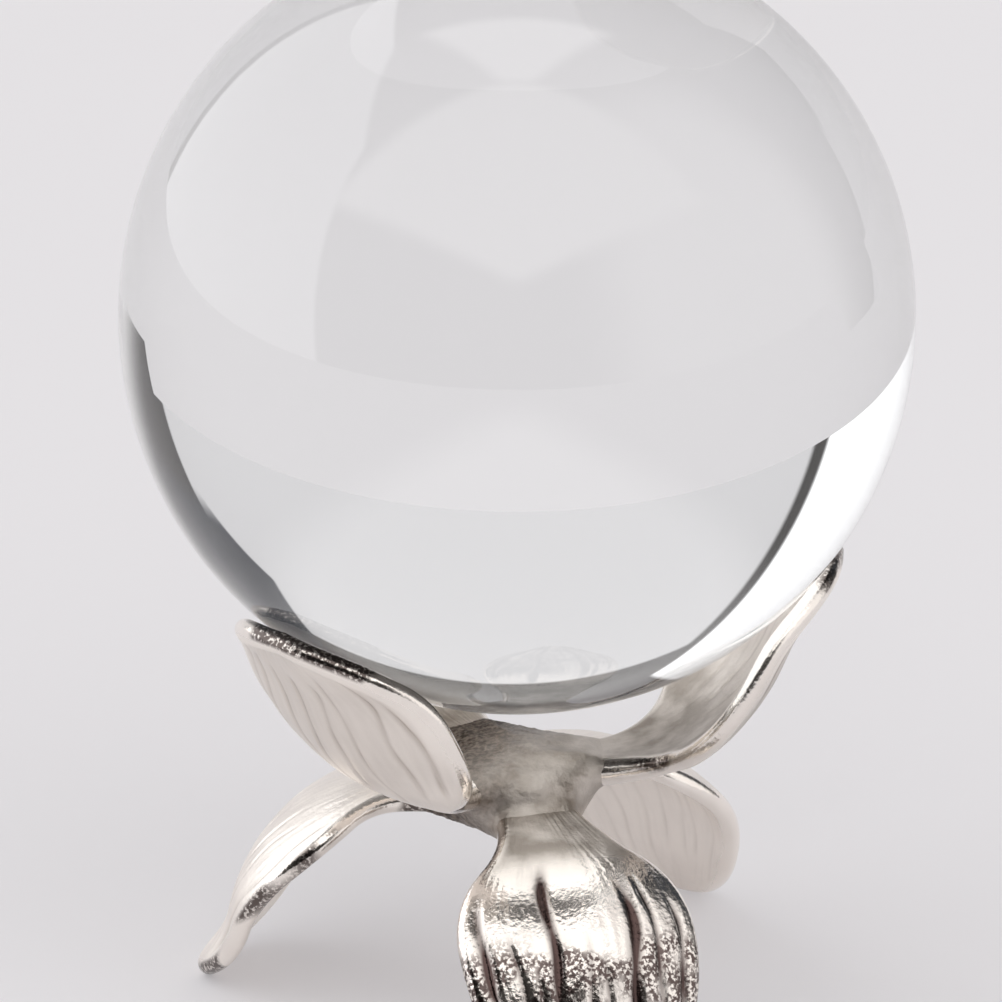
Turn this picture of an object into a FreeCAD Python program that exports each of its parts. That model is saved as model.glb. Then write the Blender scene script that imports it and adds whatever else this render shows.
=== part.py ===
import FreeCAD, Part
import math
import os
import Sketcher

# A solid glass ball lying loose on a cast flower stand. Three leg petals bend down to the
# table and three cup petals curve up and hold the ball. All six are brazed to a small hub.
# Frame: millimetres, +Z up, origin on the table under the ball's centre, -Y to the front.

XY = "XY_Plane"
XZ = "XZ_Plane"
YZ = "YZ_Plane"
H_AXIS = -1     # a sketch's own axes, as the constraint solver numbers them
V_AXIS = -2
START = 1
END = 2
CENTRE = 3

# Driving dimensions: alias, value in mm or degrees, meaning.
DIMENSIONS = [
    ("ball_diameter", 80.0, "solid glass ball"),
    ("ball_centre_height", 75.8, "centre of the ball above the table"),
    ("casting_thickness", 2.2, "wall of every petal"),
    ("hub_radius", 7.6, "radius that the petal roots are fitted to"),
    ("hub_side_height", 5.0, "straight side of the hub"),
    ("hub_crown", 1.0, "rise of the hub's domed top and belly"),
    ("leg_root_height", 23.5, "middle of the wall at a leg's root"),
    ("cup_root_height", 26.5, "middle of the wall at a cup's root"),
    ("leg_root_run", 11.5, "level start of a leg petal, from the hub's axis"),
    ("leg_bend_radius", 18.0, "bend from level to the wall of the leg"),
    ("leg_wall_slope", 77.0, "slope of the leg's wall, down from level"),
    ("leg_wall_run", 0.6, "straight stretch of the leg's wall"),
    ("leg_flare_radius", 17.7, "reverse bend near the foot"),
    ("leg_tip_slope", 54.5, "slope of the foot, down from level"),
    ("leg_tip_run", 3.2, "straight stretch of the foot"),
    ("leg_arch_radius", 23.5, "arch across the leg petal"),
    ("leg_cut_tilt", 45.0, "tilt of the plane that the leg's outline is drawn on"),
    ("leg_neck_half", 4.2, "half the width of the leg's root"),
    ("leg_half_width", 12.2, "half the leg's greatest width"),
    ("leg_neck_end", 3.5, "where the neck starts to widen, along the tilted plane"),
    ("leg_widest", 20.5, "place of the greatest width, along the tilted plane"),
    ("leg_length", 40.6, "far end of the leg, along the tilted plane"),
    ("leg_end_radius", 7.2, "round end of the leg's outline"),
    ("cup_root_run", 6.38, "level start of a cup petal, from the hub's axis"),
    ("cup_bend_radius", 22.0, "bend from level to the wall of the cup"),
    ("cup_wall_slope", 67.0, "slope of the cup's wall, up from level"),
    ("cup_wall_run", 2.0, "straight stretch of the cup's wall"),
    ("cup_flare_radius", 17.0, "outward bend near the tip"),
    ("cup_tip_slope", 56.0, "slope of the tip, up from level"),
    ("cup_tip_run", 4.0, "straight stretch of the tip"),
    ("cup_arch_radius", 27.0, "hollow across the cup petal"),
    ("cup_cut_tilt", 40.0, "tilt of the plane that the cup's outline is drawn on"),
    ("cup_neck_half", 3.3, "half the width of the cup's root"),
    ("cup_half_width", 14.4, "half the cup's greatest width"),
    ("cup_neck_end", 3.5, "where the neck starts to widen, along the tilted plane"),
    ("cup_widest", 25.5, "place of the greatest width, along the tilted plane"),
    ("cup_length", 40.4, "far end of the cup, along the tilted plane"),
    ("cup_end_radius", 10.3, "round end of the cup's outline"),
    ("leg_petal_front_angle", -73.8, "direction of each petal about +Z, from +X"),
    ("leg_petal_left_angle", 165.0, ""),
    ("leg_petal_back_angle", 58.0, ""),
    ("cup_petal_front_angle", 224.0, ""),
    ("cup_petal_right_angle", 4.0, ""),
    ("cup_petal_back_angle", 128.0, ""),
]

SECTION_MARGIN = 1.5    # the swept strip is this much wider than the outline, each side
STOCK = 200.0           # larger than the whole stand, for the sketches that trim it

doc = FreeCAD.newDocument("CrystalBall")


def make_sheet():
    """The spreadsheet that drives every size: name, value and meaning in three columns."""
    sheet = doc.addObject("Spreadsheet::Sheet", "Dims")
    for row, (alias, value, meaning) in enumerate(DIMENSIONS, start=1):
        sheet.set(f"A{row}", alias)
        sheet.set(f"B{row}", str(value))
        sheet.set(f"C{row}", meaning)
        sheet.setAlias(f"B{row}", alias)
    doc.recompute()
    return sheet


sheet = make_sheet()


def size(alias):
    """A driving dimension's value, read from the sheet."""
    return float(sheet.get(alias))


def new_body(label):
    body = doc.addObject("PartDesign::Body", label)
    body.Label = label
    return body


def new_sketch(body, name, role):
    """An empty sketch on one of the body's own origin planes."""
    sketch = body.newObject("Sketcher::SketchObject", name)
    plane = [feature for feature in body.Origin.OriginFeatures if feature.Role == role][0]
    sketch.AttachmentSupport = (plane, [""])
    sketch.MapMode = "FlatFace"
    return sketch


def point(x, y):
    return FreeCAD.Vector(x, y, 0)


def bind(sketch, name, constraint, expression):
    """Adds a named constraint and drives it with an expression on the sheet."""
    index = sketch.addConstraint(constraint)
    sketch.renameConstraint(index, name)
    sketch.setExpression(f"Constraints.{name}", expression)


def line(sketch, first, last):
    """Adds a straight edge and returns its index with the names of its two ends."""
    index = sketch.addGeometry(Part.LineSegment(first, last))
    return index, START, END


def arc(sketch, centre, radius, first, last):
    """Adds an arc from one angle to another and returns its index with its two ends' names.

    The solver's arcs always run anticlockwise, so a clockwise arc has its ends' names swapped.
    """
    circle = Part.Circle(centre, FreeCAD.Vector(0, 0, 1), radius)
    index = sketch.addGeometry(Part.ArcOfCircle(circle, min(first, last), max(first, last)))
    if first < last:
        return index, START, END
    return index, END, START


def along(angle, length):
    return point(length * math.cos(angle), length * math.sin(angle))


def join_smoothly(sketch, chain):
    """Makes each piece of a chain of edges tangent to the next where they meet."""
    for (before, _, before_end), (after, after_start, _) in zip(chain, chain[1:]):
        sketch.addConstraint(
            Sketcher.Constraint("Tangent", before, before_end, after, after_start))


def spine_sketch(body, kind, turn):
    """The line that a petal follows: level root, bend, wall, reverse bend and tip.

    turn is -1 for a leg, which bends down, and +1 for a cup, which bends up.
    """
    sketch = new_sketch(body, f"{body.Label}_spine", XZ)
    quarter = turn * math.pi / 2
    wall = turn * math.radians(size(f"{kind}_wall_slope"))
    tip = turn * math.radians(size(f"{kind}_tip_slope"))
    bend_radius = size(f"{kind}_bend_radius")
    flare_radius = size(f"{kind}_flare_radius")
    start = point(0, size(f"{kind}_root_height"))
    root_end = start + along(0, size(f"{kind}_root_run"))
    bend_centre = root_end + along(quarter, bend_radius)
    bend_end = bend_centre + along(wall - quarter, bend_radius)
    wall_end = bend_end + along(wall, size(f"{kind}_wall_run"))
    flare_centre = wall_end + along(wall - quarter, flare_radius)
    flare_end = flare_centre + along(tip + quarter, flare_radius)
    tip_end = flare_end + along(tip, size(f"{kind}_tip_run"))

    root = line(sketch, start, root_end)
    bend = arc(sketch, bend_centre, bend_radius, -quarter, wall - quarter)
    straight = line(sketch, bend_end, wall_end)
    flare = arc(sketch, flare_centre, flare_radius, wall + quarter, tip + quarter)
    end = line(sketch, flare_end, tip_end)
    join_smoothly(sketch, [root, bend, straight, flare, end])
    sketch.addConstraint(Sketcher.Constraint("Horizontal", root[0]))
    sketch.addConstraint(Sketcher.Constraint("PointOnObject", root[0], START, V_AXIS))
    bind(sketch, "root_height",
         Sketcher.Constraint("DistanceY", root[0], START, start.y), f"Dims.{kind}_root_height")
    bind(sketch, "root_run",
         Sketcher.Constraint("DistanceX", root[0], END, root_end.x), f"Dims.{kind}_root_run")
    bind(sketch, "bend_radius",
         Sketcher.Constraint("Radius", bend[0], bend_radius), f"Dims.{kind}_bend_radius")
    bind(sketch, "wall_slope",
         Sketcher.Constraint("Angle", straight[0], wall), f"{turn} * Dims.{kind}_wall_slope * 1 deg")
    bind(sketch, "wall_run",
         Sketcher.Constraint("Distance", straight[0], size(f"{kind}_wall_run")),
         f"Dims.{kind}_wall_run")
    bind(sketch, "flare_radius",
         Sketcher.Constraint("Radius", flare[0], flare_radius), f"Dims.{kind}_flare_radius")
    bind(sketch, "tip_slope",
         Sketcher.Constraint("Angle", end[0], tip), f"{turn} * Dims.{kind}_tip_slope * 1 deg")
    bind(sketch, "tip_run",
         Sketcher.Constraint("Distance", end[0], size(f"{kind}_tip_run")), f"Dims.{kind}_tip_run")
    return sketch


def section_sketch(body, kind, turn):
    """The arched wall across a petal: two arcs about one centre, closed along two radii."""
    sketch = new_sketch(body, f"{body.Label}_section", YZ)
    half_wall = size("casting_thickness") / 2
    arch = size(f"{kind}_arch_radius")
    centre = point(0, size(f"{kind}_root_height") + turn * arch)
    middle = -turn * math.pi / 2
    spread = math.asin((size(f"{kind}_half_width") + SECTION_MARGIN) / arch)
    outer = arc(sketch, centre, arch + half_wall, middle - spread, middle + spread)[0]
    inner = arc(sketch, centre, arch - half_wall, middle - spread, middle + spread)[0]
    for which, angle in ((START, middle - spread), (END, middle + spread)):
        side = line(sketch, centre + along(angle, arch - half_wall),
                    centre + along(angle, arch + half_wall))[0]
        sketch.addConstraint(Sketcher.Constraint("Coincident", side, START, inner, which))
        sketch.addConstraint(Sketcher.Constraint("Coincident", side, END, outer, which))
        sketch.addConstraint(Sketcher.Constraint("PointOnObject", outer, CENTRE, side))
    sketch.addConstraint(Sketcher.Constraint("Coincident", outer, CENTRE, inner, CENTRE))
    sketch.addConstraint(Sketcher.Constraint("PointOnObject", outer, CENTRE, V_AXIS))
    sketch.addConstraint(Sketcher.Constraint("Symmetric", outer, START, outer, END, V_AXIS))
    bind(sketch, "centre_height",
         Sketcher.Constraint("DistanceY", outer, CENTRE, centre.y),
         f"Dims.{kind}_root_height + {turn} * Dims.{kind}_arch_radius")
    bind(sketch, "outer_radius",
         Sketcher.Constraint("Radius", outer, arch + half_wall),
         f"Dims.{kind}_arch_radius + Dims.casting_thickness / 2")
    bind(sketch, "inner_radius",
         Sketcher.Constraint("Radius", inner, arch - half_wall),
         f"Dims.{kind}_arch_radius - Dims.casting_thickness / 2")
    return sketch


def frame_rectangle(sketch):
    """A rectangle larger than the whole stand, so that what lies between it and an outline
    is cut away."""
    corners = [point(-STOCK, -STOCK), point(STOCK, -STOCK),
               point(STOCK, STOCK), point(-STOCK, STOCK)]
    for first, last in zip(corners, corners[1:] + corners[:1]):
        line(sketch, first, last)


def outline_sketch(body, kind, turn):
    """The petal's outline, on a plane tilted with the petal, inside a large rectangle.

    Each side is a straight neck, an ogee that swells to the greatest width and a long arc
    that closes on the round end.
    """
    sketch = new_sketch(body, f"{body.Label}_outline", XY)
    tilt = FreeCAD.Rotation(FreeCAD.Vector(0, -turn, 0), size(f"{kind}_cut_tilt"))
    sketch.AttachmentOffset = FreeCAD.Placement(FreeCAD.Vector(0, 0, size(f"{kind}_root_height")), tilt)
    sketch.setExpression("AttachmentOffset.Base.z", f"Dims.{kind}_root_height")
    sketch.setExpression("AttachmentOffset.Rotation.Angle", f"Dims.{kind}_cut_tilt * 1 deg")
    neck = size(f"{kind}_neck_half")
    neck_end = size(f"{kind}_neck_end")
    half = size(f"{kind}_half_width")
    widest = size(f"{kind}_widest")
    end_radius = size(f"{kind}_end_radius")
    end_centre = size(f"{kind}_length") - end_radius
    rise = half - neck
    run = widest - neck_end
    ogee_radius = (run ** 2 + rise ** 2) / (4 * rise)
    ogee_turn = math.atan2(run / 2, ogee_radius - rise / 2)
    reach = size(f"{kind}_length") - widest
    side_radius = ((reach ** 2 + half ** 2 - 2 * reach * end_radius)
                   / (2 * (half - end_radius)))
    end_turn = math.atan2(side_radius - half, end_centre - widest)

    end = arc(sketch, point(end_centre, 0), end_radius, -end_turn, end_turn)
    sketch.addConstraint(Sketcher.Constraint("PointOnObject", end[0], CENTRE, H_AXIS))
    bind(sketch, "end_centre", Sketcher.Constraint("DistanceX", end[0], CENTRE, end_centre),
         f"Dims.{kind}_length - Dims.{kind}_end_radius")
    bind(sketch, "end_radius", Sketcher.Constraint("Radius", end[0], end_radius),
         f"Dims.{kind}_end_radius")
    start_line = line(sketch, point(0, -neck), point(0, neck))[0]
    for side, name, end_point in ((1, "upper", END), (-1, "lower", START)):
        up = side * math.pi / 2
        edge = line(sketch, point(0, side * neck), point(neck_end, side * neck))
        hollow = arc(sketch, point(neck_end, side * (neck + ogee_radius)), ogee_radius,
                     -up, -up + side * ogee_turn)
        crown = arc(sketch, point(widest, side * (half - ogee_radius)), ogee_radius,
                    up + side * ogee_turn, up)
        flank = arc(sketch, point(widest, side * (half - side_radius)), side_radius,
                    up, side * end_turn)
        join_smoothly(sketch, [edge, hollow, crown, flank])
        sketch.addConstraint(Sketcher.Constraint("Tangent", flank[0], flank[2], end[0], end_point))
        sketch.addConstraint(Sketcher.Constraint("Coincident", start_line,
                                                 END if side > 0 else START, edge[0], START))
        sketch.addConstraint(Sketcher.Constraint("PointOnObject", edge[0], START, V_AXIS))
        sketch.addConstraint(Sketcher.Constraint("Horizontal", edge[0]))
        sketch.addConstraint(Sketcher.Constraint("Equal", hollow[0], crown[0]))
        bind(sketch, f"{name}_neck_half",
             Sketcher.Constraint("DistanceY", edge[0], START, side * neck),
             f"{side} * Dims.{kind}_neck_half")
        bind(sketch, f"{name}_neck_end",
             Sketcher.Constraint("DistanceX", edge[0], END, neck_end), f"Dims.{kind}_neck_end")
        bind(sketch, f"{name}_widest",
             Sketcher.Constraint("DistanceX", crown[0], crown[2], widest), f"Dims.{kind}_widest")
        bind(sketch, f"{name}_half_width",
             Sketcher.Constraint("DistanceY", crown[0], crown[2], side * half),
             f"{side} * Dims.{kind}_half_width")
        bind(sketch, f"{name}_crown_centre",
             Sketcher.Constraint("DistanceX", crown[0], CENTRE, widest), f"Dims.{kind}_widest")
    frame_rectangle(sketch)
    return sketch


def cut_through(body, name, sketch):
    """Cuts a sketch's shape right through a body, both ways."""
    pocket = body.newObject("PartDesign::Pocket", name)
    pocket.Profile = sketch
    pocket.Type = "ThroughAll"
    pocket.Midplane = True
    return pocket


def trim_root(body):
    """Cuts the petal's root to the hub's round side, so that the two meet face to face."""
    sketch = new_sketch(body, f"{body.Label}_root", XY)
    circle = Part.Circle(point(0, 0), FreeCAD.Vector(0, 0, 1), size("hub_radius"))
    index = sketch.addGeometry(circle)
    sketch.addConstraint(Sketcher.Constraint("Coincident", index, CENTRE, H_AXIS, START))
    bind(sketch, "hub_radius",
         Sketcher.Constraint("Radius", index, size("hub_radius")), "Dims.hub_radius")
    return cut_through(body, f"{body.Label}_root_cut", sketch)


def grind_foot(body):
    """Cuts away what lies below the table, which leaves the flat that the foot stands on."""
    sketch = new_sketch(body, f"{body.Label}_foot", XY)
    frame_rectangle(sketch)
    pocket = body.newObject("PartDesign::Pocket", f"{body.Label}_foot_cut")
    pocket.Profile = sketch
    pocket.Type = "Length"
    pocket.Length = STOCK
    return pocket


def make_petal(label, kind, turn):
    """One cast petal: an arched strip swept along its spine and trimmed to its outline."""
    body = new_body(label)
    sweep = body.newObject("PartDesign::AdditivePipe", f"{label}_strip")
    sweep.Profile = section_sketch(body, kind, turn)
    sweep.Spine = spine_sketch(body, kind, turn)
    cut_through(body, f"{label}_trim", outline_sketch(body, kind, turn))
    trim_root(body)
    if kind == "leg":
        grind_foot(body)
    body.Placement = FreeCAD.Placement(
        FreeCAD.Vector(0, 0, 0),
        FreeCAD.Rotation(FreeCAD.Vector(0, 0, 1), size(f"{label}_angle")))
    return body


HUB_MIDDLE = "(Dims.leg_root_height + Dims.cup_root_height) / 2"


def make_hub():
    """The small cast centre: a straight-sided disc with a domed top and belly."""
    body = new_body("hub")
    sketch = new_sketch(body, "hub_profile", XZ)
    radius = size("hub_radius")
    middle = (size("leg_root_height") + size("cup_root_height")) / 2
    side = size("hub_side_height") / 2
    crown = size("hub_crown")
    dome = (radius ** 2 + crown ** 2) / (2 * crown)
    spread = math.asin(radius / dome)
    top = arc(sketch, point(0, middle + side + crown - dome), dome,
              math.pi / 2 - spread, math.pi / 2)[0]
    belly = arc(sketch, point(0, middle - side - crown + dome), dome,
                -math.pi / 2, -math.pi / 2 + spread)[0]
    axis = line(sketch, point(0, middle + side + crown), point(0, middle - side - crown))[0]
    wall = line(sketch, point(radius, middle - side), point(radius, middle + side))[0]
    for first, first_end, last, last_end in (
            (top, START, wall, END), (top, END, axis, START),
            (belly, START, axis, END), (belly, END, wall, START)):
        sketch.addConstraint(Sketcher.Constraint("Coincident", first, first_end, last, last_end))
    for dome_arc in (top, belly):
        sketch.addConstraint(Sketcher.Constraint("PointOnObject", dome_arc, CENTRE, V_AXIS))
    sketch.addConstraint(Sketcher.Constraint("PointOnObject", axis, START, V_AXIS))
    sketch.addConstraint(Sketcher.Constraint("PointOnObject", axis, END, V_AXIS))
    bind(sketch, "top_height",
         Sketcher.Constraint("DistanceY", axis, START, middle + side + crown),
         f"{HUB_MIDDLE} + Dims.hub_side_height / 2 + Dims.hub_crown")
    bind(sketch, "belly_height",
         Sketcher.Constraint("DistanceY", axis, END, middle - side - crown),
         f"{HUB_MIDDLE} - Dims.hub_side_height / 2 - Dims.hub_crown")
    for name, which, sign in (("lower", START, "-"), ("upper", END, "+")):
        offset = -side if sign == "-" else side
        bind(sketch, f"{name}_edge_radius",
             Sketcher.Constraint("DistanceX", wall, which, radius), "Dims.hub_radius")
        bind(sketch, f"{name}_edge_height",
             Sketcher.Constraint("DistanceY", wall, which, middle + offset),
             f"{HUB_MIDDLE} {sign} Dims.hub_side_height / 2")
    turned = body.newObject("PartDesign::Revolution", "hub_turned")
    turned.Profile = sketch
    turned.ReferenceAxis = (sketch, ["V_Axis"])
    turned.Angle = 360
    return body


def make_ball():
    """The solid glass ball."""
    ball = doc.addObject("Part::Sphere", "crystal_ball")
    ball.Label = "crystal_ball"
    ball.setExpression("Radius", "Dims.ball_diameter / 2")
    ball.setExpression("Placement.Base.z", "Dims.ball_centre_height")
    return ball


def check(parts):
    """Stops if any object failed, or if any sub-part's solid is missing or broken."""
    for item in doc.Objects:
        if "Invalid" in item.State or "Error" in item.State:
            raise RuntimeError(f"{item.Name} failed: {item.State}")
    for part in parts:
        shape = part.Shape
        if shape.isNull() or not shape.isValid() or len(shape.Solids) != 1:
            raise RuntimeError(f"{part.Label} is not one valid solid")


parts = [make_ball(), make_hub()]
for place in ("front", "left", "back"):
    parts.append(make_petal(f"leg_petal_{place}", "leg", -1))
for place in ("front", "right", "back"):
    parts.append(make_petal(f"cup_petal_{place}", "cup", 1))
doc.recompute()
check(parts)

os.makedirs("parts", exist_ok=True)
for part in parts:
    part.Shape.exportStep(f"parts/{part.Label}.step")
    box = part.Shape.BoundBox
    print(f"{part.Label}: volume {part.Shape.Volume:.0f} mm3, "
          f"x {box.XMin:.1f}..{box.XMax:.1f}, y {box.YMin:.1f}..{box.YMax:.1f}, "
          f"z {box.ZMin:.1f}..{box.ZMax:.1f}")
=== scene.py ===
import math

import bpy
import numpy as np
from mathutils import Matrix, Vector, noise


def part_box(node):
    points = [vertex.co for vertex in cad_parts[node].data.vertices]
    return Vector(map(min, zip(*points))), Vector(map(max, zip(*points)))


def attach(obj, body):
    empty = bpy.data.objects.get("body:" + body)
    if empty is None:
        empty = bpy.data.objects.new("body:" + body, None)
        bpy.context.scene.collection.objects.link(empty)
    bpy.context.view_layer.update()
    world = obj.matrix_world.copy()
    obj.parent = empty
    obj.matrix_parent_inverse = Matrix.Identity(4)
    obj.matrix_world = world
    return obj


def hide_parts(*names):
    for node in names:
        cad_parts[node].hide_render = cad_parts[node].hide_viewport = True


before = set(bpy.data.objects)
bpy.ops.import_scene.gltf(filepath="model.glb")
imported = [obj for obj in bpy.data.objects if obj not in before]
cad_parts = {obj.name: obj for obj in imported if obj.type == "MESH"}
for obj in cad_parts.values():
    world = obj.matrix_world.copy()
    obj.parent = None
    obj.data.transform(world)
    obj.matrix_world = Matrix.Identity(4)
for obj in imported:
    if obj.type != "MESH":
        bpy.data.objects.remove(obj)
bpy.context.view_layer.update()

# A glass ball lying on a cast silver-plated flower stand. Each piece replaces one CAD node and keeps its
# place and size. The builders work in millimetres, and the meshes are made in metres.

MM = 0.001

# The two petal forms, with the CAD's own sizes in millimetres and degrees. turn: -1 bends down, +1 up.
LEG = dict(turn=-1, root_height=23.5, root_run=11.5, bend_radius=18.0, wall_slope=77.0, wall_run=0.6,
           flare_radius=17.7, tip_slope=54.5, tip_run=3.2, arch_radius=23.5, cut_tilt=45.0,
           neck_half=4.2, half_width=12.2, neck_end=3.5, widest=20.5, length=40.6, end_radius=7.2)
CUP = dict(turn=1, root_height=26.5, root_run=6.38, bend_radius=22.0, wall_slope=67.0, wall_run=2.0,
           flare_radius=17.0, tip_slope=56.0, tip_run=4.0, arch_radius=27.0, cut_tilt=40.0,
           neck_half=3.3, half_width=14.4, neck_end=3.5, widest=25.5, length=40.4, end_radius=10.3)
HALF_WALL = 1.1
ROOT_START = 3.0        # a petal's mesh starts this far out on its tilted outline, inside the hub
PAST_TIP = 12.0         # the spine runs on this far past the tip, to cover the whole outline
GRID_ROWS = 230         # along a petal
GRID_COLUMNS = 150      # across a petal
FULL_GROOVE = 0.4       # depth of a fully tarnished groove

# Each rib groove: place across (-1 to 1), start and end along (0 to 1), depth in mm, width in mm.
FRONT_LEG_RIBS = [(-0.80, 0.30, 1.0, 0.42, 0.50), (-0.57, 0.42, 0.98, 0.30, 0.34),
                  (-0.44, 0.50, 0.90, 0.20, 0.26), (-0.30, 0.24, 0.99, 0.48, 0.52),
                  (-0.02, 0.45, 0.80, 0.20, 0.30), (0.14, 0.52, 0.97, 0.26, 0.32),
                  (0.40, 0.30, 1.0, 0.50, 0.56), (0.60, 0.30, 0.97, 0.32, 0.40),
                  (0.80, 0.36, 0.98, 0.36, 0.42)]
# Each petal: node, form, direction about +Z in degrees, ribs (None for a plain set), ribs' share inside.
PETALS = [
    ("leg_petal_front", LEG, -73.8, FRONT_LEG_RIBS, 1.0),
    ("leg_petal_left", LEG, 165.0, None, 0.7),
    ("leg_petal_back", LEG, 58.0, None, 0.7),
    ("cup_petal_front", CUP, 224.0, None, 0.5),
    ("cup_petal_right", CUP, 4.0, None, 0.6),
    ("cup_petal_back", CUP, 128.0, None, 0.6),
]


def smooth(low, high, value):
    """0 below low, 1 above high and an S-curve between."""
    k = np.clip((value - low) / (high - low), 0.0, 1.0)
    return k * k * (3 - 2 * k)


# ---------------------------------------------------------------- petals


def spine(form, steps=1400):
    """The petal's middle line: distance along, run from the axis, height and heading."""
    turn = form["turn"]
    wall, tip = math.radians(form["wall_slope"]), math.radians(form["tip_slope"])
    runs = [(form["root_run"], 0.0), (form["bend_radius"] * wall, wall), (form["wall_run"], 0.0),
            (form["flare_radius"] * (wall - tip), tip - wall), (form["tip_run"] + PAST_TIP, 0.0)]
    edges = np.concatenate([[0.0], np.cumsum([length for length, _ in runs])])
    headings = np.concatenate([[0.0], np.cumsum([swing for _, swing in runs])]) * turn
    s = np.linspace(0.0, edges[-1], steps)
    h = np.interp(s, edges, headings)
    step = s[1] - s[0]
    x = np.concatenate([[0.0], np.cumsum((np.cos(h[1:]) + np.cos(h[:-1])) / 2 * step)])
    z = np.concatenate([[0.0], np.cumsum((np.sin(h[1:]) + np.sin(h[:-1])) / 2 * step)])
    return s, x, z + form["root_height"], h


def flank_and_end(form):
    """The outline's flank radius, the centre of its round end and the place where that end begins."""
    reach, half, end = form["length"] - form["widest"], form["half_width"], form["end_radius"]
    flank = (reach ** 2 + half ** 2 - 2 * reach * end) / (2 * (half - end))
    end_centre = form["length"] - end
    end_from = end_centre + end * math.sin(math.atan2(end_centre - form["widest"], flank - half))
    return flank, end_centre, end_from


def half_outline(form, u):
    """Half the petal's width at each place along its tilted outline."""
    neck, half, widest = form["neck_half"], form["half_width"], form["widest"]
    rise, run, end = half - neck, widest - form["neck_end"], form["end_radius"]
    ogee = (run ** 2 + rise ** 2) / (4 * rise)
    flank, end_centre, end_from = flank_and_end(form)
    middle = form["neck_end"] + run / 2
    hollow = neck + ogee - np.sqrt(np.maximum(ogee ** 2 - (u - form["neck_end"]) ** 2, 0))
    crown = half - ogee + np.sqrt(np.maximum(ogee ** 2 - (u - widest) ** 2, 0))
    side = half - flank + np.sqrt(np.maximum(flank ** 2 - (u - widest) ** 2, 0))
    tip = np.sqrt(np.maximum(end ** 2 - (u - end_centre) ** 2, 0))
    out = np.where(u < form["neck_end"], neck, np.where(u < middle, hollow, crown))
    out = np.where(u > widest, side, out)
    return np.where(u > end_from, tip, out)


def neck_swell(run):
    """How much thicker the wall is near the hub, in mm, at each distance from the axis."""
    return 0.55 * (1 - smooth(7.0, 16.0, run))


def place_on_petal(form, u, across, table):
    """Middle-surface points and unit normals, in the petal's own frame, for places u along the outline."""
    s, x, z, h = table
    tilt, turn = math.radians(form["cut_tilt"]), form["turn"]
    lift = turn * (form["arch_radius"] - np.sqrt(np.maximum(form["arch_radius"] ** 2 - across ** 2, 0)))
    sample = (x * math.cos(tilt) + turn * (z - form["root_height"]) * math.sin(tilt))
    normal_u = -np.sin(h) * math.cos(tilt) + turn * np.cos(h) * math.sin(tilt)
    at = np.empty_like(u)
    for j in range(u.shape[1]):
        guess = np.interp(u[:, j], sample, s)
        for _ in range(6):
            got = np.interp(guess, s, sample) + lift[:, j] * np.interp(guess, s, normal_u)
            lean = np.cos(np.abs(np.interp(guess, s, h)) - tilt)
            guess = guess + (u[:, j] - got) / np.maximum(lean, 0.4)
        at[:, j] = guess
    hx, px, pz = np.interp(at, s, h), np.interp(at, s, x), np.interp(at, s, z)
    slope = across / np.sqrt(np.maximum(form["arch_radius"] ** 2 - across ** 2, 1e-6))
    nx, nz = -np.sin(hx), np.cos(hx)
    point = np.stack([px + nx * lift, across, pz + nz * lift], -1)
    normal = np.stack([nx, -turn * slope, nz], -1)
    normal /= np.linalg.norm(normal, axis=-1, keepdims=True)
    return point, normal


def value_noise(shape_u, shape_v, coarse_u, coarse_v, rng):
    """Smooth noise on a grid, from a coarse grid of random values blended with cosine steps."""
    grid = rng.uniform(-1, 1, (coarse_u + 2, coarse_v + 2))
    iu = np.linspace(0, coarse_u, shape_u)
    iv = np.linspace(0, coarse_v, shape_v)
    a, b = iu.astype(int), iv.astype(int)
    fu = (1 - np.cos((iu - a) * np.pi)) / 2
    fv = (1 - np.cos((iv - b) * np.pi)) / 2
    top = grid[a][:, b] * (1 - fv) + grid[a][:, b + 1] * fv
    low = grid[a + 1][:, b] * (1 - fv) + grid[a + 1][:, b + 1] * fv
    return top * (1 - fu[:, None]) + low * fu[:, None]


def rib_field(form, t, v, width, ribs, seed):
    """Depth of the rib grooves, in mm, on a grid of places along (t) and across (v).

    A petal without listed ribs gets an even set of eight, each a little off its place.
    """
    rng = np.random.default_rng(seed)
    if ribs is None:
        count = 8
        ribs = []
        for k in range(count):
            place = (k + 0.5) / count * 1.84 - 0.92 + rng.uniform(-0.05, 0.05)
            ribs.append((place, rng.uniform(0.26, 0.4), rng.uniform(0.8, 0.92),
                         rng.uniform(0.16, 0.26), rng.uniform(0.20, 0.30)))
    depth = np.zeros_like(t)
    for place, first, last, deep, wide in ribs:
        sway = 0.025 * np.sin(t * 9 + rng.uniform(0, 6)) + 0.015 * np.sin(t * 23 + rng.uniform(0, 6))
        gap = np.abs(v - place - sway) * width
        groove = np.exp(-(gap / wide) ** 2)
        along = smooth(first, first + 0.12, t) * (1 - smooth(last - 0.06, last, t))
        ripple = 0.8 + 0.2 * np.sin(t * 31 + rng.uniform(0, 6))
        depth = np.maximum(depth, deep * groove * along * ripple)
    return depth


def mesh_object(name, points, faces, smooth_shade=True):
    """A mesh object in the scene, from points in metres."""
    mesh = bpy.data.meshes.new(name)
    mesh.from_pydata([tuple(p) for p in points], [], faces)
    mesh.validate()
    mesh.update()
    if smooth_shade:
        mesh.polygons.foreach_set("use_smooth", [True] * len(mesh.polygons))
    obj = bpy.data.objects.new(name, mesh)
    bpy.context.scene.collection.objects.link(obj)
    return obj


def put_attribute(obj, name, values):
    """Stores one number per vertex, for the materials to read."""
    attribute = obj.data.attributes.new(name, "FLOAT", "POINT")
    attribute.data.foreach_set("value", np.asarray(values, np.float32))


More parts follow.
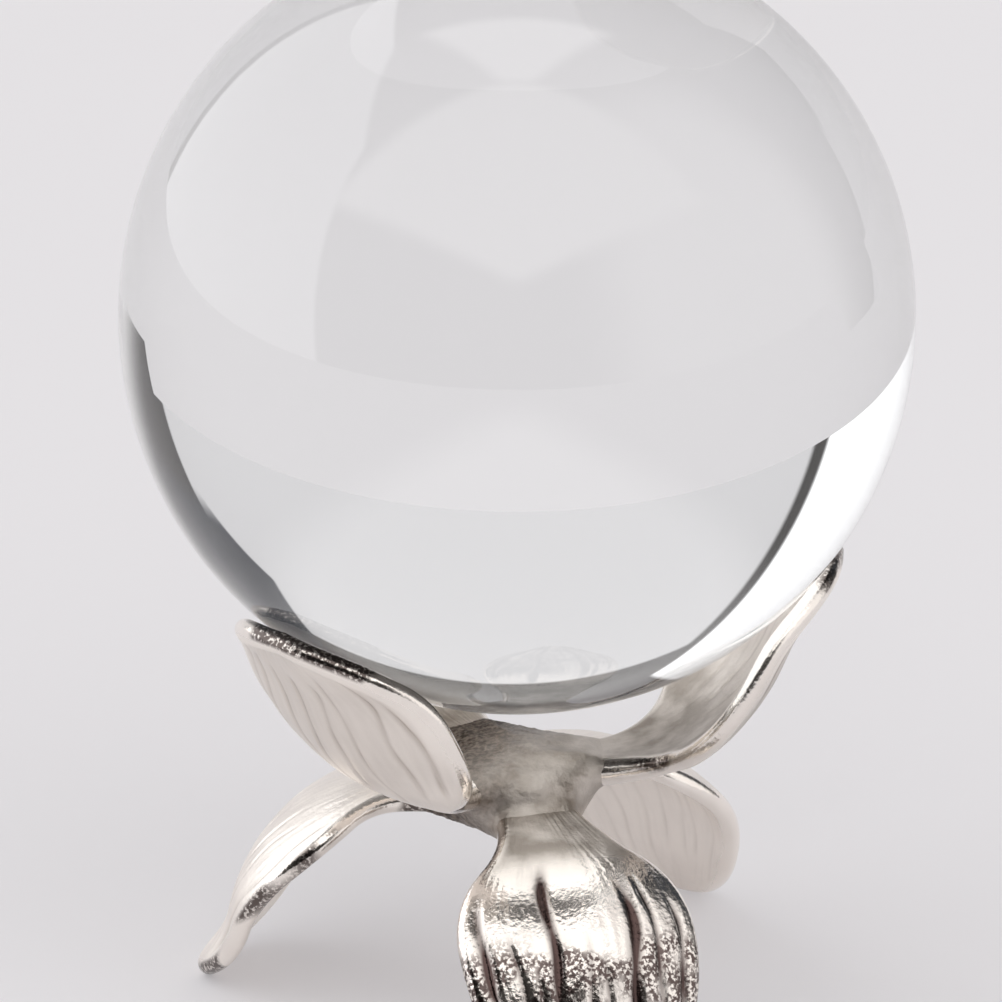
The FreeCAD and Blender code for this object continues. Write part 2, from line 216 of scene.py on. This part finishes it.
def make_petal(name, form, angle, ribs, inner_ribs, seed):
    """One cast petal: a grid laid over its outline on both faces, joined round a rounded rim."""
    rows, columns = GRID_ROWS, GRID_COLUMNS
    length, end = form["length"], form["end_radius"]
    # Rows crowd towards the tip and columns towards the two edges, where the rim turns.
    k = np.linspace(0, 1, rows)
    u = ROOT_START + (length - ROOT_START) * (1 - (1 - k) ** 1.35)
    u[-1] = length - 0.002
    even = np.linspace(-1, 1, columns)
    quarter = math.pi / 2 * 0.999
    v = 0.5 * (np.sin(even * quarter) / math.sin(quarter)) + 0.5 * even
    width = half_outline(form, u)
    across = width[:, None] * v[None, :]
    uu = np.repeat(u[:, None], columns, 1)
    point, normal = place_on_petal(form, uu, across, spine(form))

    # The distance to the edge rounds the rim: the wall closes to nothing along a half circle.
    slope = np.minimum(np.abs(np.gradient(width, u)), 4)
    side_gap = (width[:, None] - np.abs(across)) / np.sqrt(1 + slope[:, None] ** 2)
    end_gap = end - np.hypot(np.maximum(uu - (length - end), 0), across)
    end_from = flank_and_end(form)[2]
    edge_gap = np.maximum(np.where(uu > end_from, end_gap, side_gap), 0)
    wall = HALF_WALL + neck_swell(point[..., 0])
    q = 1 - np.minimum(edge_gap, wall) / wall
    half = wall * np.sqrt(np.maximum(1 - q ** 2, 0))

    # Ribs, drag lines and dents, cut into the two faces.
    t = (uu - ROOT_START) / (length - ROOT_START)
    vv = np.repeat(v[None, :], rows, 0)
    rim = smooth(0.3, 1.6, edge_gap)
    grooves = rib_field(form, t, vv, width[:, None], ribs, seed) * rim
    rng = np.random.default_rng(seed + 50)
    streak = (value_noise(rows, columns, 10, 60, rng) * 0.030
              + value_noise(rows, columns, 22, 110, rng) * 0.018)
    dents = value_noise(rows, columns, 7, 6, rng) * 0.05
    outer_cut = grooves + (streak + dents) * rim * 0.8
    inner_cut = grooves * inner_ribs * 0.6 + np.maximum(streak, 0) * rim + 0.02
    if form["turn"] > 0:
        # A cup's outer face is sunk a little inside a raised lip.
        lip = (1 - smooth(1.6, 2.8, edge_gap)) * smooth(0.45, 0.7, t) * smooth(0.3, 1.0, edge_gap)
        outer_cut = outer_cut * (1 - 0.8 * lip) + 0.16 * (1 - lip) * smooth(0.4, 0.6, t) * rim
    # The outer face of a leg is its upper face; the outer face of a cup is its lower face.
    up_cut, low_cut = (outer_cut, inner_cut) if form["turn"] < 0 else (inner_cut, outer_cut)
    upper = point + normal * (half - up_cut * np.minimum(half / wall, 1))[..., None]
    lower = point - normal * (half - low_cut * np.minimum(half / wall, 1))[..., None]

    # The two faces share the points along all four sides of the grid.
    index_top = np.arange(rows * columns).reshape(rows, columns)
    index_low = index_top + rows * columns
    shared = np.zeros((rows, columns), bool)
    shared[0, :] = shared[-1, :] = shared[:, 0] = shared[:, -1] = True
    index_low = np.where(shared, index_top, index_low)
    points = np.concatenate([upper.reshape(-1, 3), lower.reshape(-1, 3)])
    used = np.concatenate([np.ones(rows * columns, bool), ~shared.ravel()])
    renumber = np.cumsum(used) - 1
    faces = []
    for grid, flip in ((index_top, False), (index_low, True)):
        g = renumber[grid]
        quads = np.stack([g[:-1, :-1], g[1:, :-1], g[1:, 1:], g[:-1, 1:]], -1).reshape(-1, 4)
        if flip:
            quads = quads[:, ::-1]
        faces.extend(map(tuple, quads.tolist()))
    points = points[used]
    points[:, 2] = np.maximum(points[:, 2], 0.0)
    turn = math.radians(angle)
    x = points[:, 0] * math.cos(turn) - points[:, 1] * math.sin(turn)
    y = points[:, 0] * math.sin(turn) + points[:, 1] * math.cos(turn)
    obj = mesh_object(name, np.stack([x, y, points[:, 2]], -1) * MM, faces)
    for key, top, bottom in (("groove", up_cut / FULL_GROOVE, low_cut / FULL_GROOVE),
                             ("along", t, t), ("rim", edge_gap, edge_gap)):
        values = np.concatenate([top.ravel(), bottom.ravel()])[used]
        put_attribute(obj, key, np.clip(values, 0, 1) if key == "groove" else values)
    return obj


# ---------------------------------------------------------------- hub


def smooth_min(a, b, reach):
    """The smaller of two distance fields, blended over a reach so that the join is a fillet."""
    k = np.clip(0.5 + 0.5 * (b - a) / reach, 0, 1)
    return b * (1 - k) + a * k - reach * k * (1 - k)


def surface_net(field, origin, step):
    """A quad mesh on the zero level of a sampled distance field, negative inside."""
    inside = field < 0
    cells = tuple(n - 1 for n in field.shape)
    total = np.zeros(cells + (3,))
    count = np.zeros(cells)
    for axis in range(3):
        others = [a for a in range(3) if a != axis]
        first = [slice(None)] * 3
        second = [slice(None)] * 3
        first[axis], second[axis] = slice(0, -1), slice(1, None)
        a, b = field[tuple(first)], field[tuple(second)]
        crossing = inside[tuple(first)] != inside[tuple(second)]
        share = np.where(crossing, a / np.where(crossing, a - b, 1), 0)
        place = np.stack(np.indices(a.shape), -1).astype(float)
        place[..., axis] += share
        place *= crossing[..., None]
        for du in (0, 1):
            for dv in (0, 1):
                source = [slice(None)] * 3
                source[axis] = slice(0, cells[axis])
                source[others[0]] = slice(du, du + cells[others[0]])
                source[others[1]] = slice(dv, dv + cells[others[1]])
                total += place[tuple(source)]
                count += crossing[tuple(source)]
    active = count > 0
    number = np.full(cells, -1)
    number[active] = np.arange(active.sum())
    points = origin + (total[active] / count[active][:, None]) * step
    faces = []
    for axis in range(3):
        others = [a for a in range(3) if a != axis]
        first = [slice(1, -1)] * 3
        second = [slice(1, -1)] * 3
        first[axis], second[axis] = slice(0, -1), slice(1, None)
        a, b = inside[tuple(first)], inside[tuple(second)]
        where = np.argwhere(a != b)
        leaving = a[tuple(where.T)]
        base = where + np.array([0 if axis == d else 1 for d in range(3)])
        ring = []
        for du, dv in ((1, 1), (0, 1), (0, 0), (1, 0)):
            cell = base.copy()
            cell[:, others[0]] -= du
            cell[:, others[1]] -= dv
            ring.append(number[tuple(cell.T)])
        quads = np.stack(ring, -1)
        flip = leaving if axis == 1 else ~leaving
        quads[flip] = quads[flip][:, ::-1]
        faces.extend(map(tuple, quads.tolist()))
    return points, faces


HUB_MIDDLE = 25.0       # height of the hub's middle
HUB_STEP = 0.3          # spacing of the samples that the hub's surface is drawn from
SLEEVE_END = 15.0       # the hub's sleeve over each neck ends here, under the petal's own skin


def hub_field(X, Y, Z):
    """Distance to the hub's surface: a rounded disc that flows into a sleeve along each neck."""
    disc_radius, disc_half, rounding = 5.6, 1.0, 2.2
    fillet = 2.6
    radius = np.hypot(X, Y)
    flat = np.maximum(np.abs(Z - HUB_MIDDLE) - disc_half, 0)
    body = np.hypot(np.maximum(radius - disc_radius, 0), flat) - rounding
    for _, form, angle, _, _ in PETALS:
        a = math.radians(angle)
        along = X * math.cos(a) + Y * math.sin(a)
        across = -X * math.sin(a) + Y * math.cos(a)
        s, x, z, h = spine(form)
        height = np.interp(along, x, z)
        heading = np.interp(along, x, h)
        lift = form["turn"] * across ** 2 / (2 * form["arch_radius"])
        tilt = math.radians(form["cut_tilt"])
        u = along * math.cos(tilt) + form["turn"] * (height - form["root_height"]) * math.sin(tilt)
        half = half_outline(form, u)
        sink = 0.5 * smooth(7.5, 11.5, along)
        thick = HALF_WALL + neck_swell(along) - sink
        wide = half - sink
        offset = (Z - height - lift) * np.cos(heading)
        dx = np.maximum(np.abs(across) - wide + thick, 0)
        strip = np.hypot(dx, offset) - thick
        strip = np.maximum(strip, -along)
        strip = np.maximum(strip, along - SLEEVE_END)
        body = smooth_min(body, strip, fillet)
    return body


def make_hub():
    """The cast centre, flowing into the six necks, with a crystalline left side that its material also
    paints in shade.
    """
    reach, low, high = 19.0, 17.0, 33.0
    xs = np.arange(-reach, reach + HUB_STEP, HUB_STEP)
    zs = np.arange(low, high + HUB_STEP, HUB_STEP)
    body = hub_field(*np.meshgrid(xs, xs, zs, indexing="ij"))
    origin = np.array([xs[0], xs[0], zs[0]])
    points, faces = surface_net(body, origin, HUB_STEP)
    rough = np.zeros(len(points))
    shift = np.zeros(len(points))
    for i, p in enumerate(points):
        q = Vector(p)
        coarse = noise.noise(q * 0.9)
        fine = noise.noise(q * 2.6) + 0.5 * noise.noise(q * 5.0)
        r = math.hypot(p[0], p[1])
        # The crystalline side, stronger to the left and back. The hub's material also paints this side
        # near-black as painted shade.
        crumb_and_shade = max(0.0, min(1.0, 0.5 - p[0] * 0.09 + 0.05 * p[1]))
        fade = max(0.0, 1 - max(0.0, r - 9) / 5)
        shift[i] = 0.10 * coarse + (0.03 + 0.10 * crumb_and_shade) * fine * fade
        rough[i] = crumb_and_shade * max(0.0, 1 - max(0.0, r - 10) / 5)
    centre = np.stack([points[:, 0] * 0.4, points[:, 1] * 0.4, np.full(len(points), HUB_MIDDLE)], -1)
    away = points - centre
    away /= np.linalg.norm(away, axis=1)[:, None]
    points = points + away * shift[:, None]
    obj = mesh_object("stand_hub", points * MM, faces)
    put_attribute(obj, "rough", rough)
    return obj


# ---------------------------------------------------------------- ball


def make_ball():
    """The glass ball: a cube's six faces, each a fine grid, drawn out to the sphere."""
    low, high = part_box("crystal_ball")
    centre = (low + high) / 2
    radius = (high.z - low.z) / 2
    n = 72      # squares along each side of the cube
    t = np.tan(np.linspace(-1, 1, n + 1) * math.pi / 4)
    a, b = np.meshgrid(t, t, indexing="ij")
    one = np.ones_like(a)
    sides = [(one, a, b), (-one, b, a), (b, one, a), (a, -one, b), (a, b, one), (b, a, -one)]
    points, faces = [], []
    for side in sides:
        p = np.stack(side, -1).reshape(-1, 3)
        p /= np.linalg.norm(p, axis=1)[:, None]
        grid = np.arange((n + 1) ** 2).reshape(n + 1, n + 1) + len(points) * (n + 1) ** 2
        quads = np.stack([grid[:-1, :-1], grid[1:, :-1], grid[1:, 1:], grid[:-1, 1:]], -1)
        faces.extend(map(tuple, quads.reshape(-1, 4).tolist()))
        points.append(p)
    sphere = np.concatenate(points)
    _, first, back = np.unique(np.round(sphere, 6), axis=0, return_index=True, return_inverse=True)
    back = back.ravel()
    faces = [tuple(back[i] for i in f) for f in faces]
    return mesh_object("glass_ball", sphere[first] * radius + np.array(centre), faces)


# ---------------------------------------------------------------- materials


def new_material(name):
    """A node material, with its nodes, its links and its shader."""
    material = bpy.data.materials.new(name)
    material.use_nodes = True
    nodes = material.node_tree.nodes
    return material, nodes, material.node_tree.links, nodes["Principled BSDF"]


def ramp(nodes, links, source, stops):
    """A colour ramp on a socket, from its stops: place and colour."""
    node = nodes.new("ShaderNodeValToRGB")
    for element, (place, colour) in zip(node.color_ramp.elements, stops):
        element.position = place
        element.color = (*colour, 1)
    links.new(source, node.inputs["Fac"])
    return node.outputs["Color"]


def math_node(nodes, links, operation, *values):
    """A Math node on any mix of sockets and constants, clamped to 0..1."""
    node = nodes.new("ShaderNodeMath")
    node.operation = operation
    node.use_clamp = True
    for socket, value in zip(node.inputs, values):
        if isinstance(value, (int, float)):
            socket.default_value = value
        else:
            links.new(value, socket)
    return node.outputs[0]


def remap(nodes, links, source, low, high, first, last):
    """Maps a socket's low..high to first..last with smooth ends."""
    node = nodes.new("ShaderNodeMapRange")
    node.interpolation_type = "SMOOTHSTEP"
    for key, value in (("From Min", low), ("From Max", high), ("To Min", first), ("To Max", last)):
        node.inputs[key].default_value = value
    links.new(source, node.inputs["Value"])
    return node.outputs["Result"]


def texture(nodes, links, coords, scale, detail):
    """Noise in the object's own space. scale is per metre."""
    node = nodes.new("ShaderNodeTexNoise")
    node.inputs["Scale"].default_value = scale
    node.inputs["Detail"].default_value = detail
    links.new(coords.outputs["Object"], node.inputs["Vector"])
    return node.outputs["Fac"]


def field(nodes, name):
    """A number stored on the mesh by put_attribute."""
    node = nodes.new("ShaderNodeAttribute")
    node.attribute_name = name
    return node.outputs["Fac"]


def mix_colour(nodes, links, share, first, second):
    """Blends two colours, each a socket or a constant, by a share."""
    node = nodes.new("ShaderNodeMix")
    node.data_type = "RGBA"
    links.new(share, node.inputs["Factor"])
    for value, key in ((first, "A"), (second, "B")):
        if isinstance(value, tuple):
            node.inputs[key].default_value = (*value, 1)
        else:
            links.new(value, node.inputs[key])
    return node.outputs["Result"]


def add_bump(nodes, links, shader, height, strength, depth):
    """Raises the surface's fine grain. depth is in metres."""
    node = nodes.new("ShaderNodeBump")
    node.inputs["Strength"].default_value = strength
    node.inputs["Distance"].default_value = depth
    links.new(height, node.inputs["Height"])
    links.new(node.outputs["Normal"], shader.inputs["Normal"])


# The hub and the necks share these colours and the noise under them, so that they run together. Their
# grey-brown is a dull casting tone darkened as painted shade and reflection under the ball.
SHADED_CASTING = [(0.35, (0.36, 0.32, 0.28)), (0.65, (0.64, 0.59, 0.54))]
# Painted reflection: the dark colour laid on short stretches of the rim.
DARK_RIM_REFLECTION = (0.06, 0.04, 0.035)


def silver(name, roughness, bump, groove, dark, neck=None, speckle=0.0):
    """Silver plate over a casting, with tarnished grooves, fine pits, a polished rim painted dark in short
    stretches as a painted reflection, and painted shade and reflection on the neck and in the far half's
    pits.

    groove and dark: how strongly the grooves are tarnished, and to what colour.
    neck: where along the petal its painted shade and reflection, a dull brown-grey, starts and stops
    fading into the plate.
    speckle: how much of the petal's far half is broken up by dark pits, which are pitting and also a
    painted reflection of the dark room in front.
    """
    material, nodes, links, shader = new_material(name)
    coords = nodes.new("ShaderNodeTexCoord")
    pits = texture(nodes, links, coords, 1900, 3)
    cloud = texture(nodes, links, coords, 260, 4)
    colour = ramp(nodes, links, cloud, [(0.3, (0.92, 0.86, 0.80)), (0.7, (0.97, 0.915, 0.855))])
    rough = remap(nodes, links, cloud, 0.2, 0.8, roughness * 0.75, roughness * 1.35)
    polish = remap(nodes, links, field(nodes, "rim"), 0.3, 1.3, 0.45, 1.0)
    rough = math_node(nodes, links, "MULTIPLY", rough, polish)
    share = math_node(nodes, links, "MULTIPLY", field(nodes, "groove"), groove)
    if neck:
        # Painted shade and reflection: the neck, and on the inner plate most of a cup's inner face,
        # painted a dull brown-grey that fades out along the petal.
        painted_neck_shade = remap(nodes, links, field(nodes, "along"), *neck, 1.0, 0.0)
        ragged = texture(nodes, links, coords, 300, 4)
        rim_kept_bright = remap(nodes, links, field(nodes, "rim"), 0.5, 1.5, 0.2, 1.0)
        painted_neck_shade = math_node(nodes, links, "MULTIPLY", painted_neck_shade, rim_kept_bright)
        neck_shade_colour = ramp(nodes, links, ragged, SHADED_CASTING)
        colour = mix_colour(nodes, links, painted_neck_shade, colour, neck_shade_colour)
        dull_rough = math_node(nodes, links, "MULTIPLY", painted_neck_shade, 0.46)
        rough = math_node(nodes, links, "MAXIMUM", rough, dull_rough)
    # Dark pits over the far half: pitting, and a painted reflection of the dark room that this half faces.
    if speckle:
        grain = remap(nodes, links, texture(nodes, links, coords, 2600, 5), 0.40, 0.54, 0.0, 1.0)
        drift = remap(nodes, links, texture(nodes, links, coords, 230, 3), 0.36, 0.54, 0.0, 1.0)
        far = remap(nodes, links, field(nodes, "along"), 0.42, 0.52, 0.0, 1.0)
        pits_and_reflection = math_node(nodes, links, "MULTIPLY", grain, drift)
        pits_and_reflection = math_node(nodes, links, "MULTIPLY", pits_and_reflection, far)
        pits_and_reflection = math_node(nodes, links, "MULTIPLY", pits_and_reflection, speckle)
        share = math_node(nodes, links, "MAXIMUM", share, pits_and_reflection)
    # The rim is painted dark in a few short stretches, as a painted reflection of the dark room.
    rim_reflection_stretch = remap(nodes, links, texture(nodes, links, coords, 75, 1), 0.56, 0.60, 0.0, 1.0)
    rim_reflection_flecks = remap(nodes, links, texture(nodes, links, coords, 2600, 4), 0.36, 0.50, 0.30, 1.0)
    lip = remap(nodes, links, field(nodes, "rim"), 0.35, 0.9, 0.92, 0.0)
    painted_rim_reflection = math_node(nodes, links, "MULTIPLY", rim_reflection_stretch, rim_reflection_flecks)
    painted_rim_reflection = math_node(nodes, links, "MULTIPLY", painted_rim_reflection, lip)
    colour = mix_colour(nodes, links, share, colour, dark)
    colour = mix_colour(nodes, links, painted_rim_reflection, colour, DARK_RIM_REFLECTION)
    links.new(colour, shader.inputs["Base Color"])
    links.new(rough, shader.inputs["Roughness"])
    shader.inputs["Metallic"].default_value = 1.0
    add_bump(nodes, links, shader, pits, bump, 0.00008)
    return material


def cast_centre():
    """The hub's casting, a dull brown-grey darkened as painted shade and reflection under the ball, with
    its crystalline left side painted near-black as painted shade.
    """
    material, nodes, links, shader = new_material("silver_hub_rough")
    coords = nodes.new("ShaderNodeTexCoord")
    grain = texture(nodes, links, coords, 2100, 4)
    cloud = texture(nodes, links, coords, 300, 4)
    shaded_casting_colour = ramp(nodes, links, cloud, SHADED_CASTING)
    # Painted shade: the crystalline left side, beneath the necks, is painted near-black.
    crumb_and_shade = ramp(nodes, links, grain, [(0.40, (0.05, 0.038, 0.03)), (0.62, (0.24, 0.20, 0.17))])
    colour = mix_colour(nodes, links, field(nodes, "rough"), shaded_casting_colour, crumb_and_shade)
    links.new(colour, shader.inputs["Base Color"])
    links.new(remap(nodes, links, cloud, 0.2, 0.8, 0.36, 0.52), shader.inputs["Roughness"])
    shader.inputs["Metallic"].default_value = 1.0
    add_bump(nodes, links, shader, grain, 0.9, 0.00010)
    return material


def glass():
    """Clear optical glass with the faintest handling haze."""
    material, nodes, links, shader = new_material("clear_optical_glass")
    shader.inputs["Base Color"].default_value = (0.96, 0.965, 0.963, 1)
    shader.inputs["Transmission Weight"].default_value = 1.0
    shader.inputs["IOR"].default_value = 1.517
    haze = nodes.new("ShaderNodeTexNoise")
    haze.inputs["Scale"].default_value = 60
    haze.inputs["Detail"].default_value = 2
    level = nodes.new("ShaderNodeMapRange")
    level.inputs["From Min"].default_value = 0.6
    level.inputs["From Max"].default_value = 0.9
    level.inputs["To Min"].default_value = 0.0
    level.inputs["To Max"].default_value = 0.01
    links.new(haze.outputs["Fac"], level.inputs["Value"])
    links.new(level.outputs["Result"], shader.inputs["Roughness"])
    return material


# ---------------------------------------------------------------- stage


def direction(azimuth, elevation):
    """Unit vector: azimuth from +Y towards +X, elevation above the horizon, in degrees."""
    a, e = math.radians(azimuth), math.radians(elevation)
    return Vector((math.sin(a) * math.cos(e), math.cos(a) * math.cos(e), math.sin(e)))


class Sky:
    """The studio round the object, painted on the world by direction: a base and panels over it."""

    def __init__(self, colour):
        world = bpy.data.worlds.new("studio")
        bpy.context.scene.world = world
        world.use_nodes = True
        self.nodes, self.links = world.node_tree.nodes, world.node_tree.links
        self.coords = self.nodes.new("ShaderNodeTexCoord").outputs["Generated"]
        self.background = self.nodes["Background"]
        base = self.nodes.new("ShaderNodeRGB")
        base.outputs[0].default_value = (*colour, 1)
        self.colour = base.outputs[0]

    def edge(self, normal, soft):
        """1 on the side of a great circle that the normal points to, with a soft step across it."""
        dot = self.nodes.new("ShaderNodeVectorMath")
        dot.operation = "DOT_PRODUCT"
        dot.inputs[1].default_value = normal
        self.links.new(self.coords, dot.inputs[0])
        step = self.nodes.new("ShaderNodeMapRange")
        step.interpolation_type = "SMOOTHSTEP"
        step.inputs["From Min"].default_value = -soft
        step.inputs["From Max"].default_value = soft
        self.links.new(dot.outputs["Value"], step.inputs["Value"])
        return step.outputs["Result"]

    def panel(self, corners, colour, soft):
        """Paints a convex panel whose corners are given as (azimuth, elevation), in order.

        soft is the half width of the edges' step, for all of them or one by one.
        """
        ends = [direction(*c) for c in corners]
        middle = sum(ends, Vector()).normalized()
        mask = None
        softs = soft if isinstance(soft, (list, tuple)) else [soft] * len(ends)
        for (a, b), width in zip(zip(ends, ends[1:] + ends[:1]), softs):
            normal = a.cross(b).normalized()
            if normal.dot(middle) < 0:
                normal = -normal
            side = self.edge(normal, width)
            if mask is None:
                mask = side
                continue
            times = self.nodes.new("ShaderNodeMath")
            times.operation = "MULTIPLY"
            self.links.new(mask, times.inputs[0])
            self.links.new(side, times.inputs[1])
            mask = times.outputs[0]
        self.over(mask, colour)

    def over(self, mask, colour):
        """Lays a colour over what is painted so far, through a mask."""
        mix = self.nodes.new("ShaderNodeMix")
        mix.data_type = "RGBA"
        self.links.new(mask, mix.inputs["Factor"])
        self.links.new(self.colour, mix.inputs["A"])
        mix.inputs["B"].default_value = (*colour, 1)
        self.colour = mix.outputs["Result"]

    def finish(self):
        """Puts the finished painting on the world's background."""
        self.links.new(self.colour, self.background.inputs["Color"])


def make_sky():
    """A dark room with a backdrop and soft boxes, which the glass and the silver show."""
    sky = Sky((0.045, 0.042, 0.04))
    # The fill on the right, bright beyond a wide soft edge.
    sky.panel([(72, -30), (72, 64), (150, 64), (150, -30)], (1.0, 0.98, 0.98), [0.2, 0.25, 0.25, 0.1])
    # The backdrop, level with the floor's own tone.
    sky.panel([(-46, -30), (-27, 33), (0, 37), (36, 34), (58, -12)], (0.73, 0.72, 0.735),
              [0.012, 0.012, 0.012, 0.008, 0.05])
    # A dark gap beside the backdrop's upper right corner.
    sky.panel([(35, 42), (35, 20), (44.5, 12), (60, 12), (60, 42)], (0.045, 0.05, 0.06),
              [0.008, 0.008, 0.05, 0.2, 0.05])
    # The overhead soft box.
    sky.panel([(-40, 60), (40, 60), (88, 86), (-88, 86)], (1.45, 1.43, 1.42), 0.04)
    # The broad soft box above the camera, which the front leg mirrors.
    sky.panel([(108, 36), (180, 29), (252, 36), (265, 85), (95, 85)], (1.4, 1.38, 1.37), 0.05)
    # The tall soft box on the left.
    sky.panel([(-50, -30), (-25.5, 42), (-50, 57), (-101, 51), (-121, 4), (-130, -30)], (1.5, 1.5, 1.52),
              [0.012, 0.01, 0.02, 0.02, 0.02, 0.02])
    sky.finish()


TABLE_EDGE = 0.52       # how far off the table ends, in metres, within the bearings of TABLE_GAP
TABLE_GAP = (56, 75)    # degrees from the back towards the right


def make_floor():
    """A pale seamless floor, lit by its own soft glow as well as by the studio."""
    rings = np.concatenate([[0.0], np.geomspace(0.02, 6.0, 60)])     # radii in metres
    spokes = 96
    turn = np.linspace(0, 2 * math.pi, spokes, endpoint=False)
    points = [(0.0, 0.0, 0.0)]
    for r in rings[1:]:
        points += [(r * math.sin(a), r * math.cos(a), 0.0) for a in turn]
    faces = [(0, 1 + (k + 1) % spokes, 1 + k) for k in range(spokes)]
    for ring in range(len(rings) - 2):
        a, b = 1 + ring * spokes, 1 + (ring + 1) * spokes
        beyond = rings[ring + 1] > TABLE_EDGE
        for k in range(spokes):
            middle = (k + 0.5) * 360 / spokes
            if not (beyond and TABLE_GAP[0] < middle < TABLE_GAP[1]):
                faces.append((a + k, a + (k + 1) % spokes, b + (k + 1) % spokes, b + k))
    floor = mesh_object("floor", points, faces, smooth_shade=False)
    material, nodes, links, shader = new_material("floor_paper")
    shader.inputs["Base Color"].default_value = (0.60, 0.59, 0.60, 1)
    shader.inputs["Roughness"].default_value = 1.0
    shader.inputs["Specular IOR Level"].default_value = 0.0
    shader.inputs["Emission Color"].default_value = (0.99, 0.97, 1.0, 1)
    shader.inputs["Emission Strength"].default_value = 0.27
    floor.data.materials.append(material)
    return floor


def make_camera():
    """Looks down 20 degrees from the front, 0.7 m from the ball's centre and aimed at its lower part."""
    low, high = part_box("crystal_ball")
    centre = (low + high) / 2
    tilt, distance = math.radians(20.0), 0.7
    aim_left, aim_down = 0.00160666, 0.01857696     # metres across and along the view
    back = Vector((0, -math.cos(tilt), math.sin(tilt)))
    up = Vector((0, math.sin(tilt), math.cos(tilt)))
    eye = centre + back * distance
    aim = centre - Vector((aim_left, 0, 0)) - up * aim_down
    data = bpy.data.cameras.new("camera")
    data.sensor_width = 36.0
    data.lens = 250.45509
    data.clip_start, data.clip_end = 0.05, 30.0
    camera = bpy.data.objects.new("camera", data)
    bpy.context.scene.collection.objects.link(camera)
    camera.location = eye
    camera.rotation_mode = "QUATERNION"
    camera.rotation_quaternion = (aim - eye).to_track_quat("-Z", "Y")
    bpy.context.scene.camera = camera


# ---------------------------------------------------------------- assembly

FIRST_SEED = 11

# The neck ranges below paint a dull brown-grey shade and reflection near the hub. On the inner plate the
# range spans most of a cup's inner face.
bright_plate = silver("silver_plate_bright", 0.15, 0.9, 1.3, (0.09, 0.06, 0.055), (0.20, 0.34), 0.95)
satin_plate = silver("silver_plate_satin", 0.36, 0.5, 0.55, (0.30, 0.25, 0.21))
inner_plate = silver("silver_plate_painted_reflection", 0.36, 0.6, 0.9, (0.20, 0.16, 0.13), (0.25, 0.80))
hub_plate = cast_centre()
PLATES = {"leg_petal_front": bright_plate, "leg_petal_left": satin_plate, "leg_petal_back": satin_plate,
          "cup_petal_front": satin_plate, "cup_petal_right": inner_plate, "cup_petal_back": inner_plate}

for order, (node, form, angle, ribs, inner) in enumerate(PETALS):
    piece = make_petal(node.replace("petal", "leaf"), form, angle, ribs, inner, FIRST_SEED + order)
    piece.data.materials.append(PLATES[node])
    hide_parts(node)
    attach(piece, "stand")

hub = make_hub()
hub.data.materials.append(hub_plate)
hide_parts("hub")
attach(hub, "stand")

ball = make_ball()
ball.data.materials.append(glass())
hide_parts("crystal_ball")
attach(ball, "ball")

make_floor()
make_sky()
make_camera()
bpy.context.scene.view_settings.view_transform = "Standard"
bpy.context.scene.cycles.use_denoising = True
